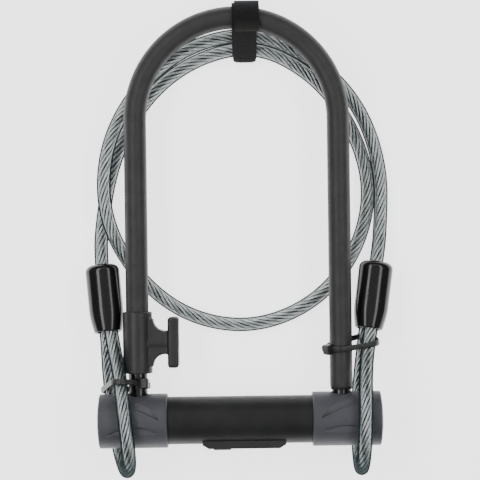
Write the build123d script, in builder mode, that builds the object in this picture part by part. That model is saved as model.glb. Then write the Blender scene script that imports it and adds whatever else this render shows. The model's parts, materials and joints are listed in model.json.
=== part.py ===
from build123d import *

import os
from math import pi, radians, sqrt, tan

os.makedirs("parts", exist_ok=True)

# A U-lock with its looped security cable, lying flat as it is sold.  X runs along the
# crossbar, Y from the crossbar to the bend, Z up from the surface it lies on.  Every
# length is in millimetres.

# --------------------------------------------------------------- driving dimensions
# Shackle
leg_spacing = 129.4  # between the two leg axes
bend_height = 191.5  # crossbar axis to the centre of the bend
bar_diameter = 12.0  # hardened steel bar
coating_wall = 1.2  # soft coating over the bar
foot_gap = 0.74  # chamfered foot to the tube's bore
foot_chamfer = 1.5
coating_end_left = 33.0  # where the coating stops, inside the bracket
coating_gap_right = 1.55  # from where it stops on the right to the end cap
notch_height = 10.6  # bolt notch, along the foot
notch_depth = 5.0  # bolt notch, into the foot
shackle_travel = 30.0  # lifts the feet clear of the crossbar

# Crossbar
crossbar_length = 182.0  # over the end caps
tube_diameter = 27.4
tube_wall = 2.9
cover_wall = 1.3
cover_gap = 0.15  # radial, over the tube
cover_tuck = 10.0  # how far the cover runs under each cap
cap_wall = 2.1  # radial, outside the cover
cap_length = 45.0
cap_end_wall = 2.8
cap_dome = 1.6  # how far the cap's end bulges
cap_edge = 2.0  # rounding of the cap's outer rim
plug_length = 6.0  # steel disc in each end of the tube

# Lock mechanism, on an axis along Y
key_x = 2.5  # key axis, off the middle of the crossbar
housing_length = 30.0
cylinder_diameter = 15.4
core_diameter = 12.4
core_wall = 1.2
core_setback = 2.5  # outer end of the core to the tube's surface
core_back = -2.0
disc_thickness = 1.1
disc_gap = 0.22
key_slot_width = 2.6
key_slot_height = 6.8
sidebar_diameter = 1.6
sidebar_seat = 0.2  # how far it sits inside the middle of the core's wall
cross_pin_diameter = 2.4
cross_pin_inset = 1.75  # its ends to the tube's bore
cam_diameter = 13.6
cam_thickness = 2.2
cam_play = 0.2  # core to cam
cam_pin_diameter = 2.2
cam_pin_radius = 5.0  # eccentricity: equals the bolts' throw over a quarter turn
yoke_thickness = 1.9
yoke_gap = 0.35
yoke_rim = 0.7  # metal left outside a yoke's slot
yoke_play = 1.1  # free play of a cam pin in its slot, each side
yoke_side = 1.6  # metal beside a yoke's slot
yoke_ledge = 0.6  # how much narrower than its pin's circle the open cut is, each side
yoke_cut_margin = 2.0  # how far the open cut runs past the yoke
yoke_lap = 2.0  # how far the yoke's arm runs into its bolt
bolt_width = 7.0  # along Z
bolt_height = 8.0  # along Y
bolt_setback = 0.6  # drawn-back bolt tip to the foot
bolt_root_gap = 0.5  # cylinder housing to the bolt's inner end
guide_length = 6.0
guide_x = 38.0

# Keyway housing and dust cover, on the crossbar's -Y side
boss_left = -24.0
boss_right = 29.0
boss_slope = 4.0
boss_shoulder = 2.4  # how far the sloping ends drop
boss_depth = 17.5  # crossbar axis to the housing's outer face
boss_width = 17.0
window_margin = 4.2  # the cover's window is this much shorter at each end
window_width = 13.6
pad_start = 1.0  # outer face to where the pad in the window begins
lid_left = -17.3
lid_right = 13.6
lid_width = 8.0
lid_thickness = 1.0
lid_lip = 0.5  # lip that holds the lid in
lid_travel = 5.0
lid_window_width = 3.6
lid_window_rim = 0.8
lid_rail = 1.0  # how far the lip covers the lid, each side
lid_rail_end = 0.8
key_play = 0.5  # round the key, in the housing
tab_left = -17.0
tab_right = -6.0
tab_depth = 19.1  # crossbar axis to the top of the thumb tab
tab_width = 4.6
tab_round = 0.6

# Carrier bracket on the left leg
bracket_low = 30.4
bracket_length = 39.1
bracket_diameter = 18.7
liner_wall = 0.7
flange_reach = 26.35  # leg axis to the flange's outer face
flange_thickness = 7.0
flange_height = 32.0
flange_depth = 17.0
flange_round = 1.8
flange_root = 2.0  # how far the neck runs into the flange
neck_height = 14.6
neck_depth = 12.0
neck_arc = 7.7
neck_arc_inset = 1.5  # flange to the middle of the round cuts
screw_boss_diameter = 13.2
screw_diameter = 4.0
screw_head_diameter = 7.0
screw_head_height = 3.2
screw_recess_depth = 4.0
screw_socket_radius = 1.7  # over the corners of the hex socket
screw_socket_depth = 1.9
nut_width = 7.0
nut_thickness = 3.2
nut_face = 13.2  # leg axis to the nut's far face

# Cable, strap and ties
cable_diameter = 9.0
sleeve_width = 22.0
sleeve_thickness = 20.0
sleeve_foot_width = 18.0
sleeve_taper_length = 14.0
sleeve_round = 3.6
sleeve_corner = 7.5  # rounding of its corners along it
strand_side = 1.6  # middle of the sleeve's foot to a strand of the eye, along the width
strand_rise = 4.4  # the same, along the thickness
ferrule_length = 24.0
ferrule_width = 10.0
ferrule_thickness = 17.0
ferrule_lap = 4.0  # how far it reaches down into the taper
strap_x = 6.6
strap_width = 16.0
strap_wall = 2.6
strap_gap = 0.9
tie_width = 3.6
tie_wall = 1.1
tie_gap_left_cap = 5.35  # left tie's plane on the leg to the end cap
tie_head_width = 5.6
tie_head_height = 5.0
tie_head_reach = 3.4  # each side of the band's middle
tie_gap = {"left": 1.2, "right": 2.1}  # the strands cross the ties at a slant

# Clearances
rest_gap = 0.3  # end cap to the cable strands under it
slide_gap = 0.4  # radial, between parts that slide on each other
turn_gap = 0.15  # radial, between parts that turn in each other
seat_gap = 0.1  # radial, between parts fixed in each other
meet_gap = 0.4  # end to end, where the coil meets its sleeves

# --------------------------------------------------------------- places worked out
leg_x = leg_spacing / 2
bar_radius = bar_diameter / 2
coated_radius = bar_radius + coating_wall
tube_radius = tube_diameter / 2
tube_bore_radius = tube_radius - tube_wall
cover_radius = tube_radius + cover_gap + cover_wall
cap_radius = cover_radius + cap_wall
cap_inner_x = crossbar_length / 2 - cap_length
tube_half_length = crossbar_length / 2 - cap_end_wall
cable_radius = cable_diameter / 2
foot_bore_radius = bar_radius + slide_gap
foot_half_width = bar_radius - foot_chamfer
foot_depth = sqrt((tube_bore_radius - foot_gap) ** 2 - foot_half_width**2)
coating_end_right = cap_radius + coating_gap_right
core_face = -(tube_radius - core_setback)

# The lock without its cable is centred on X and Y and stands on Z = 0: its far ends
# are the strap's back and the thumb tab, and its lowest point is the strap's underside.
strap_edges = (strap_x - strap_width / 2, strap_x + strap_width / 2)
bend_at_edges = [bend_height + sqrt(leg_x**2 - x**2) for x in strap_edges]
strap_reach = max(bend_at_edges) + coated_radius + strap_gap + strap_wall
bar_y = -(strap_reach - tab_depth) / 2
bar_z = cable_diameter + cap_radius + rest_gap
strand_z = cable_radius + strap_gap + strap_wall  # inner strand inside the strap

SIDES = (("left", -1), ("right", 1))


def across(x):
    """Plane square to the crossbar at x: local x is +Y and local y is +Z."""
    return Plane(origin=(x, bar_y, bar_z), x_dir=(0, 1, 0), z_dir=(1, 0, 0))


def square_to_leg(x, y):
    """Plane square to a leg at a distance y from the crossbar axis: local axes +X and +Z."""
    return Plane(origin=(x, bar_y + y, bar_z), x_dir=(1, 0, 0), z_dir=(0, -1, 0))


def flat(z):
    """Plane parallel to the lock's flat side, z above its middle: local axes +X and +Y."""
    return Plane(origin=(0, bar_y, bar_z + z), x_dir=(1, 0, 0), z_dir=(0, 0, 1))


def placed(points):
    """Cable points, given from the crossbar axis along Y and from the floor along Z."""
    return [Vector(x, bar_y + y, z) for x, y, z in points]


def corner_radii(points):
    """The largest arc that each corner takes: 0.45 of its shorter run over tan(turn / 2)."""
    radii = []
    for before, here, after in zip(points, points[1:], points[2:]):
        run_in = here - before
        run_out = after - here
        half_turn = radians(run_in.get_angle(run_out)) / 2
        radii.append(0.45 * min(run_in.length, run_out.length) / tan(half_turn))
    return radii


def wrapped(rounds, grow):
    """The tight outline round some circles (x, y, radius), each made larger by grow."""
    with BuildSketch(mode=Mode.PRIVATE) as outline:
        for x, y, radius in rounds:
            with Locations((x, y)):
                Circle(radius + grow)
        make_hull()
    return outline.sketch


def passes(line, plane):
    """Where a cable's line goes through a plane, in the plane's own coordinates."""
    steps = 2000
    places = [plane.to_local_coords(line.position_at(step / steps)) for step in range(steps + 1)]
    return [(here.X, here.Y) for here, there in zip(places, places[1:]) if here.Z * there.Z <= 0]


def save(part, name):
    """Label a finished piece and write its file."""
    part.label = name
    export_step(part, f"parts/{name}.step")


# --------------------------------------------------------------- shackle
with BuildPart() as shackle_bar:
    with BuildLine(flat(0)):
        Line((-leg_x, -foot_depth), (-leg_x, bend_height))
        ThreePointArc((-leg_x, bend_height), (0, bend_height + leg_x), (leg_x, bend_height))
        Line((leg_x, bend_height), (leg_x, -foot_depth))
    with BuildSketch(square_to_leg(-leg_x, -foot_depth)):
        Circle(bar_radius)
    sweep()
    chamfer(shackle_bar.edges().group_by(Axis.Y)[0], foot_chamfer)
    # A notch on the inner side of each foot, where its bolt goes in.
    with BuildSketch(flat(0)):
        for _, side in SIDES:
            with Locations((side * (leg_x - bar_radius + notch_depth / 2), 0)):
                Rectangle(notch_depth, notch_height)
    extrude(amount=bar_radius, both=True, mode=Mode.SUBTRACT)
save(shackle_bar.part, "shackle_bar")

with BuildPart() as shackle_coating:
    with BuildLine(flat(0)):
        Line((-leg_x, coating_end_left), (-leg_x, bend_height))
        ThreePointArc((-leg_x, bend_height), (0, bend_height + leg_x), (leg_x, bend_height))
        Line((leg_x, bend_height), (leg_x, coating_end_right))
    with BuildSketch(square_to_leg(-leg_x, coating_end_left)):
        Circle(coated_radius)
        Circle(bar_radius + seat_gap / 2, mode=Mode.SUBTRACT)
    sweep()
save(shackle_coating.part, "shackle_coating")

# --------------------------------------------------------------- carrier bracket
liner_radius = coated_radius + seat_gap + liner_wall
bracket_bore_radius = liner_radius + seat_gap
bracket_middle = bracket_low + bracket_length / 2
flange_face_x = -leg_x + flange_reach
flange_back_x = flange_face_x - flange_thickness
neck_arc_x = flange_back_x - neck_arc_inset
neck_arc_y = neck_height / 2 + neck_arc
nut_x = -leg_x + nut_face - nut_thickness / 2

with BuildPart() as bracket_body:
    # T-flange, rounded all round before the neck joins it.
    with BuildSketch(flat(0)):
        with Locations((flange_face_x - flange_thickness / 2, bracket_middle)):
            Rectangle(flange_thickness, flange_height)
    extrude(amount=flange_depth / 2, both=True)
    fillet(bracket_body.edges(), flange_round)
    # Neck, with a round cut above and below where it flares into the sleeve.
    with BuildSketch(Plane(origin=(0, bar_y + bracket_middle, bar_z))):
        with Locations(((flange_back_x + flange_root - leg_x) / 2, 0)):
            Rectangle(flange_back_x + flange_root + leg_x, 2 * neck_arc_y)
        for turn in (1, -1):
            with Locations((neck_arc_x, turn * neck_arc_y)):
                Circle(neck_arc, mode=Mode.SUBTRACT)
            with Locations((neck_arc_x + neck_arc, turn * (neck_height / 2 + neck_arc / 2))):
                Rectangle(2 * neck_arc, neck_arc, mode=Mode.SUBTRACT)
    extrude(amount=neck_depth / 2, both=True)
    # Round boss along the neck for the clamping screw.
    with BuildSketch(Plane(origin=(-leg_x, bar_y + bracket_middle, bar_z), z_dir=(1, 0, 0))):
        Circle(screw_boss_diameter / 2)
    extrude(amount=flange_reach - flange_thickness / 2)
    # Sleeve round the leg, bored for its liner.
    with BuildSketch(square_to_leg(-leg_x, bracket_low)):
        Circle(bracket_diameter / 2)
    extrude(amount=-bracket_length)
    with BuildSketch(square_to_leg(-leg_x, bracket_low)):
        Circle(bracket_bore_radius)
    extrude(amount=-bracket_length, mode=Mode.SUBTRACT)
    # Screw hole with its recess, and the pocket that the nut slides into from below.
    with BuildSketch(Plane(origin=(flange_face_x, bar_y + bracket_middle, bar_z), z_dir=(1, 0, 0))):
        Circle(screw_head_diameter / 2 + slide_gap)
    extrude(amount=-screw_recess_depth, mode=Mode.SUBTRACT)
    with BuildSketch(Plane(origin=(-leg_x, bar_y + bracket_middle, bar_z), z_dir=(1, 0, 0))):
        Circle(screw_diameter / 2 + seat_gap)
    extrude(amount=flange_reach, mode=Mode.SUBTRACT)
    with BuildSketch(Plane(origin=(nut_x, bar_y + bracket_middle, bar_z), z_dir=(0, 0, -1))):
        Rectangle(nut_thickness + 2 * seat_gap, nut_width + 2 * seat_gap)
    extrude(amount=flange_depth / 2, mode=Mode.SUBTRACT)
    with BuildSketch(Plane(origin=(nut_x, bar_y + bracket_middle, bar_z), z_dir=(1, 0, 0))):
        RegularPolygon(nut_width / 2 + seat_gap, 6, major_radius=False, rotation=30)
    extrude(amount=nut_thickness / 2 + seat_gap, both=True, mode=Mode.SUBTRACT)
save(bracket_body.part, "bracket_body")

with BuildPart() as bracket_liner:
    with BuildSketch(square_to_leg(-leg_x, bracket_low)):
        Circle(liner_radius)
        Circle(coated_radius + seat_gap, mode=Mode.SUBTRACT)
    extrude(amount=-bracket_length)
save(bracket_liner.part, "bracket_liner")

screw_tip_x = -leg_x + liner_radius + seat_gap
screw_seat_x = flange_face_x - screw_recess_depth
with BuildPart() as bracket_screw:
    with BuildSketch(Plane(origin=(screw_seat_x, bar_y + bracket_middle, bar_z), z_dir=(1, 0, 0))):
        Circle(screw_head_diameter / 2)
    extrude(amount=screw_head_height)
    with BuildSketch(Plane(origin=(screw_tip_x, bar_y + bracket_middle, bar_z), z_dir=(1, 0, 0))):
        Circle(screw_diameter / 2)
    extrude(amount=screw_seat_x - screw_tip_x)
    with BuildSketch(Plane(bracket_screw.faces().sort_by(Axis.X)[-1])):
        RegularPolygon(screw_socket_radius, 6)
    extrude(amount=-screw_socket_depth, mode=Mode.SUBTRACT)
save(bracket_screw.part, "bracket_screw")

with BuildPart() as bracket_nut:
    with BuildSketch(Plane(origin=(nut_x, bar_y + bracket_middle, bar_z), z_dir=(1, 0, 0))):
        RegularPolygon(nut_width / 2, 6, major_radius=False, rotation=30)
        Circle(screw_diameter / 2 + seat_gap / 2, mode=Mode.SUBTRACT)
    extrude(amount=nut_thickness / 2, both=True)
save(bracket_nut.part, "bracket_nut")

# --------------------------------------------------------------- crossbar shell
with BuildPart() as crossbar_tube:
    with BuildSketch(across(-tube_half_length)):
        Circle(tube_radius)
        Circle(tube_bore_radius, mode=Mode.SUBTRACT)
    extrude(amount=2 * tube_half_length)
    # Holes for the feet in the upper wall, and the key cylinder's hole in the lower one.
    with BuildSketch(square_to_leg(0, 0)):
        for _, side in SIDES:
            with Locations((side * leg_x, 0)):
                Circle(foot_bore_radius)
    extrude(amount=-tube_radius, mode=Mode.SUBTRACT)
    with BuildSketch(square_to_leg(key_x, 0)):
        Circle(cylinder_diameter / 2 + seat_gap)
    extrude(amount=tube_radius, mode=Mode.SUBTRACT)
save(crossbar_tube.part, "crossbar_tube")

cover_half_length = cap_inner_x + cover_tuck
window_left = boss_left + window_margin
window_right = boss_right - window_margin
window_middle = (window_left + window_right) / 2
with BuildPart() as crossbar_cover:
    with BuildSketch(across(-cover_half_length)):
        Circle(cover_radius)
        Circle(cover_radius - cover_wall, mode=Mode.SUBTRACT)
    extrude(amount=2 * cover_half_length)
    with BuildSketch(square_to_leg(window_middle, 0)):
        Rectangle(window_right - window_left + 2 * seat_gap, window_width + 2 * seat_gap)
    extrude(amount=cover_radius, mode=Mode.SUBTRACT)
    # Clear of the feet where it reaches as far as them.
    with BuildSketch(square_to_leg(0, 0)):
        for _, side in SIDES:
            with Locations((side * leg_x, 0)):
                Circle(foot_bore_radius)
    extrude(amount=-cover_radius, mode=Mode.SUBTRACT)
save(crossbar_cover.part, "crossbar_cover")

for name, side in SIDES:
    end_x = crossbar_length / 2
    rim_inset = cap_edge * (1 - sqrt(0.5))
    dome_rim_radius = cap_radius - cap_edge
    dome_radius = (dome_rim_radius**2 + cap_dome**2) / (2 * cap_dome)
    dome_middle = sqrt(dome_radius**2 - (dome_rim_radius / 2) ** 2)
    with BuildPart() as end_cap:
        # Outline turned about the crossbar axis: straight skirt, rounded rim, domed end.
        with BuildSketch(flat(0)):
            with BuildLine():
                Polyline(
                    (side * cap_inner_x, 0),
                    (side * cap_inner_x, cap_radius),
                    (side * (end_x - cap_dome - cap_edge), cap_radius),
                )
                ThreePointArc(
                    (side * (end_x - cap_dome - cap_edge), cap_radius),
                    (side * (end_x - cap_dome - rim_inset), cap_radius - rim_inset),
                    (side * (end_x - cap_dome), cap_radius - cap_edge),
                )
                ThreePointArc(
                    (side * (end_x - cap_dome), dome_rim_radius),
                    (side * (end_x - dome_radius + dome_middle), dome_rim_radius / 2),
                    (side * end_x, 0),
                )
                Line((side * end_x, 0), (side * cap_inner_x, 0))
            make_face()
        revolve(axis=Axis((0, bar_y, bar_z), (1, 0, 0)))
        # Bore in two steps: over the cover, then over the bare tube.
        with BuildSketch(across(side * cap_inner_x)):
            Circle(cover_radius + seat_gap)
        extrude(amount=side * (cover_tuck + seat_gap), mode=Mode.SUBTRACT)
        with BuildSketch(across(side * cap_inner_x)):
            Circle(tube_radius + seat_gap)
        extrude(amount=side * (tube_half_length + seat_gap - cap_inner_x), mode=Mode.SUBTRACT)
        # Hole for the foot.
        with BuildSketch(square_to_leg(side * leg_x, 0)):
            Circle(foot_bore_radius)
        extrude(amount=-2 * cap_radius, mode=Mode.SUBTRACT)
    save(end_cap.part, f"end_cap_{name}")

    with BuildPart() as end_plug:
        with BuildSketch(across(side * tube_half_length)):
            Circle(tube_bore_radius - seat_gap)
        extrude(amount=-side * plug_length)
    save(end_plug.part, f"end_plug_{name}")

# --------------------------------------------------------------- lock mechanism
# The cam stands behind the core, then the right bolt's yoke, then the left one's.
cam_back = core_back + cam_play
cam_face = cam_back + cam_thickness
yoke_low = {"right": cam_face + yoke_gap, "left": cam_face + 2 * yoke_gap + yoke_thickness}
pin_end = yoke_low["left"] + yoke_thickness + yoke_gap
yoke_reach = cam_pin_radius + cam_pin_diameter / 2 + yoke_play
yoke_half_width = yoke_reach + yoke_rim
chamber_top = pin_end + yoke_gap
chamber_half_width = yoke_half_width + yoke_gap
sleeve_radius = tube_bore_radius - seat_gap
cross_pin_y = (core_face + core_back) / 2
cross_pin_half = sqrt((tube_bore_radius - cross_pin_inset) ** 2 - cross_pin_y**2)

with BuildPart() as cylinder_housing:
    with BuildSketch(across(key_x - housing_length / 2)):
        Circle(sleeve_radius)
    extrude(amount=housing_length)
    # Bore for the key cylinder, then a chamber right through for the cam and the yokes.
    with BuildSketch(square_to_leg(key_x, 0)):
        Circle(cylinder_diameter / 2 + seat_gap)
    extrude(amount=tube_radius, mode=Mode.SUBTRACT)
    with BuildSketch(square_to_leg(key_x, core_back)):
        Rectangle(housing_length, 2 * chamber_half_width)
    extrude(amount=-(chamber_top - core_back), mode=Mode.SUBTRACT)
    # The bolts pass out of the ends.
    with BuildSketch(across(key_x)):
        Rectangle(bolt_height + 2 * slide_gap, bolt_width + 2 * slide_gap)
    extrude(amount=housing_length / 2, both=True, mode=Mode.SUBTRACT)
    # Hole for the pin that keeps the key cylinder in.
    with BuildSketch(flat(-tube_radius)):
        with Locations((key_x - cylinder_diameter / 2, cross_pin_y)):
            Circle(cross_pin_diameter / 2 + seat_gap / 2)
    extrude(amount=2 * tube_radius, mode=Mode.SUBTRACT)
save(cylinder_housing.part, "cylinder_housing")

with BuildPart() as lock_cylinder:
    with BuildSketch(square_to_leg(key_x, core_face)):
        Circle(cylinder_diameter / 2)
        Circle(core_diameter / 2 + turn_gap, mode=Mode.SUBTRACT)
    extrude(amount=-(core_back - core_face))
    with BuildSketch(flat(-tube_radius)):
        with Locations((key_x - cylinder_diameter / 2, cross_pin_y)):
            Circle(cross_pin_diameter / 2 + seat_gap / 2)
    extrude(amount=2 * tube_radius, mode=Mode.SUBTRACT)
save(lock_cylinder.part, "lock_cylinder")

with BuildPart() as cylinder_pin:
    with BuildSketch(flat(-cross_pin_half)):
        with Locations((key_x - cylinder_diameter / 2, cross_pin_y)):
            Circle(cross_pin_diameter / 2)
    extrude(amount=2 * cross_pin_half)
save(cylinder_pin.part, "cylinder_pin")

core_bore_radius = core_diameter / 2 - core_wall
sidebar_z = core_diameter / 2 - core_wall / 2 - sidebar_seat
with BuildPart() as key_plug:
    with BuildSketch(square_to_leg(key_x, core_face)):
        Circle(core_diameter / 2)
    extrude(amount=-(core_back - core_face))
    with BuildSketch(square_to_leg(key_x, core_face + core_wall)):
        Circle(core_bore_radius)
    extrude(amount=-(core_back - core_face - 2 * core_wall), mode=Mode.SUBTRACT)
    # Key slot in the front wall, and a slot in the side for the sidebar.
    with BuildSketch(square_to_leg(key_x, core_face)):
        Rectangle(key_slot_width, key_slot_height)
    extrude(amount=-core_wall, mode=Mode.SUBTRACT)
    with BuildSketch(square_to_leg(key_x, core_face + core_wall)):
        with Locations((0, sidebar_z)):
            Rectangle(sidebar_diameter + 2 * seat_gap, sidebar_diameter + 2 * seat_gap)
    extrude(amount=-(core_back - core_face - 2 * core_wall), mode=Mode.SUBTRACT)
save(key_plug.part, "key_plug")

disc_pitch = disc_thickness + disc_gap
disc_count = int((core_back - core_face - 2 * core_wall) / disc_pitch)
with BuildPart() as locking_discs:
    for index in range(disc_count):
        disc_y = core_face + core_wall + disc_gap + index * disc_pitch
        with BuildSketch(square_to_leg(key_x, disc_y)):
            Circle(core_bore_radius - turn_gap)
            Rectangle(key_slot_width, key_slot_height, mode=Mode.SUBTRACT)
            with Locations((0, sidebar_z)):
                Circle(sidebar_diameter / 2 + turn_gap, mode=Mode.SUBTRACT)
        extrude(amount=-disc_thickness)
save(locking_discs.part, "locking_discs")

with BuildPart() as sidebar:
    with BuildSketch(square_to_leg(key_x, core_face + core_wall + disc_gap)):
        with Locations((0, sidebar_z)):
            Circle(sidebar_diameter / 2)
    extrude(amount=-(disc_count * disc_pitch - disc_gap))
save(sidebar.part, "sidebar")

with BuildPart() as drive_cam:
    with BuildSketch(square_to_leg(key_x, cam_back)):
        Circle(cam_diameter / 2)
    extrude(amount=-cam_thickness)
    # Two pins, one above and one below the key axis: a quarter turn throws both bolts.
    with BuildSketch(square_to_leg(key_x, cam_face)):
        with Locations((0, cam_pin_radius), (0, -cam_pin_radius)):
            Circle(cam_pin_diameter / 2)
    extrude(amount=-(pin_end - cam_face))
save(drive_cam.part, "drive_cam")

bolt_tip_x = leg_x - bar_radius - bolt_setback
bolt_root = housing_length / 2 + bolt_root_gap
bolt_start_x = {"left": key_x - bolt_root, "right": key_x + bolt_root}
for name, side in SIDES:
    slot_half = cam_pin_diameter / 2 + yoke_play
    yoke_end_x = key_x - side * (slot_half + yoke_side)
    yoke_low_y = yoke_low[name]
    start_x = bolt_start_x[name]
    with BuildPart() as bolt:
        with BuildSketch(across(start_x)):
            Rectangle(bolt_height, bolt_width)
        extrude(amount=side * (bolt_tip_x - side * start_x))
        # Flat yoke over the cam, joined to the bolt by an arm.
        with BuildSketch(square_to_leg(0, yoke_low_y)):
            with Locations((key_x, 0)):
                Rectangle(2 * (slot_half + yoke_side), 2 * yoke_half_width)
            with Locations(((yoke_end_x + start_x + side * yoke_lap) / 2, 0)):
                Rectangle(abs(start_x + side * yoke_lap - yoke_end_x), bolt_width)
            # Slot for this bolt's own pin and an open cut that clears the other pin.
            with Locations((key_x, side * cam_pin_radius / 2)):
                Rectangle(2 * slot_half, cam_pin_radius + 2 * slot_half, mode=Mode.SUBTRACT)
            with Locations((key_x - side * cam_pin_radius / 2, -side * cam_pin_radius)):
                Rectangle(
                    2 * yoke_reach + cam_pin_radius + yoke_cut_margin,
                    2 * (cam_pin_radius - yoke_ledge),
                    mode=Mode.SUBTRACT,
                )
        extrude(amount=-yoke_thickness)
    save(bolt.part, f"bolt_{name}")

    with BuildPart() as bolt_guide:
        with BuildSketch(across(side * guide_x)):
            Circle(sleeve_radius)
            Rectangle(
                bolt_height + 2 * slide_gap, bolt_width + 2 * slide_gap, mode=Mode.SUBTRACT
            )
        extrude(amount=guide_length / 2, both=True)
    save(bolt_guide.part, f"bolt_guide_{name}")

# --------------------------------------------------------------- keyway housing, dust cover
lid_middle = (lid_left + lid_right) / 2
lid_length = lid_right - lid_left
pocket_left = lid_left - lid_travel - slide_gap
pocket_right = lid_right + slide_gap
pocket_middle = (pocket_left + pocket_right) / 2
lid_outer_y = boss_depth - lid_lip - slide_gap
boss_root_y = -tube_radius / 2
with BuildPart() as keyway_housing:
    # Raised body with sloping ends, hollowed to sit on the cover's round outside.
    with BuildSketch(flat(0)):
        with BuildLine():
            Polyline(
                (boss_left, boss_root_y),
                (boss_left, -boss_depth + boss_shoulder),
                (boss_left + boss_slope, -boss_depth),
                (boss_right - boss_slope, -boss_depth),
                (boss_right, -boss_depth + boss_shoulder),
                (boss_right, boss_root_y),
                close=True,
            )
        make_face()
    extrude(amount=boss_width / 2, both=True)
    with BuildSketch(across(boss_left)):
        Circle(cover_radius + seat_gap)
    extrude(amount=boss_right - boss_left, mode=Mode.SUBTRACT)
    # Pad that fills the cover's window down to the steel tube.
    with BuildSketch(square_to_leg(window_middle, -boss_depth + pad_start)):
        Rectangle(window_right - window_left, window_width)
    extrude(amount=-(boss_depth - pad_start + boss_root_y))
    with BuildSketch(across(boss_left)):
        Circle(tube_radius + seat_gap)
    extrude(amount=boss_right - boss_left, mode=Mode.SUBTRACT)
    # Pocket for the sliding lid, the opening its tab moves in, and the way to the key slot.
    with BuildSketch(square_to_leg(pocket_middle, -boss_depth + lid_lip)):
        Rectangle(pocket_right - pocket_left, lid_width + 2 * slide_gap)
    extrude(amount=-(lid_thickness + 2 * slide_gap), mode=Mode.SUBTRACT)
    with BuildSketch(square_to_leg(pocket_middle, -boss_depth)):
        Rectangle(pocket_right - pocket_left - 2 * lid_rail_end, lid_width - 2 * lid_rail)
    extrude(amount=-lid_lip, mode=Mode.SUBTRACT)
    with BuildSketch(square_to_leg(key_x, -boss_depth)):
        Rectangle(key_slot_width + 2 * key_play, key_slot_height + 2 * key_play)
    extrude(amount=-boss_depth / 2, mode=Mode.SUBTRACT)
save(keyway_housing.part, "keyway_housing")

with BuildPart() as dust_cover:
    with BuildSketch(square_to_leg(lid_middle, -lid_outer_y)):
        Rectangle(lid_length, lid_width)
        # Window that comes over the key slot when the lid is slid back.
        with Locations((key_x + lid_travel - lid_middle, 0)):
            Rectangle(lid_window_width, lid_width - 2 * lid_window_rim, mode=Mode.SUBTRACT)
    extrude(amount=-lid_thickness)
    with BuildSketch(square_to_leg((tab_left + tab_right) / 2, -lid_outer_y + lid_thickness)):
        Rectangle(tab_right - tab_left, tab_width)
    extrude(amount=tab_depth - lid_outer_y + lid_thickness)
    fillet(dust_cover.faces().sort_by(Axis.Y)[0].edges(), tab_round)
save(dust_cover.part, "dust_cover")

# --------------------------------------------------------------- cable
# Points of the cable's line: X, distance from the crossbar axis, height over the floor.
# From the left sleeve it goes one and a half times round behind the shackle, on the
# floor but where it climbs over itself on the left, and ends in the right sleeve.
coil_route = [
    (-88.2, 100.8, 12.2),
    (-89.0, 121.0, 4.5),
    (-81.7, 163.4, 4.5),
    (-62.0, 201.2, 4.5),
    (-30.4, 229.7, 5.6),
    (12.0, 240.1, 9.0),
    (51.1, 221.0, 4.8),
    (76.1, 186.5, 4.5),
    (87.5, 145.1, 4.5),
    (76.4, 103.2, 4.5),
    (47.9, 71.4, 4.5),
    (7.0, 56.8, 4.5),
    (-35.2, 65.5, 5.0),
    (-67.7, 93.3, 10.8),
    (-86.7, 131.3, 14.8),
    (-85.2, 174.7, 14.6),
    (-65.5, 212.3, 13.6),
    (-31.8, 239.2, 13.8),
    (10.1, 248.4, 14.7),
    (50.3, 232.1, 9.5),
    (79.7, 202.2, 4.5),
    (93.9, 161.3, 4.5),
    (92.6, 119.5, 4.5),
    (89.6, 100.6, 12.2),
]
# Each eye: down over the end cap, round the crossbar's far side and back under it.
eye_routes = {
    "left": [
        (-83.2, 66.4, 21.6),
        (-81.5, 49.2, 24.0),
        (-79.4, 30.0, 36.5),
        (-76.8, 10.0, 48.4),
        (-73.6, -12.0, 49.6),
        (-72.1, -28.5, 40.5),
        (-73.6, -34.0, 20.5),
        (-77.8, -20.0, 4.5),
        (-82.4, 5.0, 4.5),
        (-84.6, 29.0, 9.5),
        (-84.8, 48.6, 15.3),
        (-86.4, 64.9, 12.9),
    ],
    "right": [
        (86.0, 66.0, 21.7),
        (83.5, 48.9, 24.1),
        (82.0, 30.0, 36.5),
        (81.0, 10.0, 48.4),
        (80.4, -12.0, 49.6),
        (79.1, -28.5, 40.5),
        (77.6, -34.0, 20.5),
        (75.8, -20.0, 4.5),
        (76.4, 5.0, 4.5),
        (78.3, 29.0, 8.0),
        (80.5, 49.0, 15.2),
        (82.9, 65.2, 12.9),
    ],
}
# Each sleeve's axis, from the end where the eye goes in to the end where the cable leaves.
sleeve_foot = {"left": (-83.9, 56.4, 18.6), "right": (83.1, 56.4, 18.6)}
sleeve_top = {"left": (-88.1, 100.2, 12.4), "right": (89.5, 100.0, 12.4)}

cable_routes = {"cable_coil": placed(coil_route)}
for name, _ in SIDES:
    cable_routes[f"cable_eye_{name}"] = placed(eye_routes[name])
cable_lines = {}
for name, route in cable_routes.items():
    radii = corner_radii(route)
    with BuildPart() as cable:
        with BuildLine() as cable_line:
            FilletPolyline(*route, radius=radii)
        with BuildSketch(Plane(origin=route[0], z_dir=route[1] - route[0])):
            Circle(cable_radius)
        sweep()
    cable_lines[name] = cable_line.wires()[0]
    line_length = cable_lines[name].length
    section_volume = pi * cable_radius**2 * line_length
    print(name, "radii", [round(radius, 1) for radius in radii])
    print(name, "length", round(line_length, 1), "volume ratio", cable.part.volume / section_volume)
    save(cable.part, name)

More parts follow.
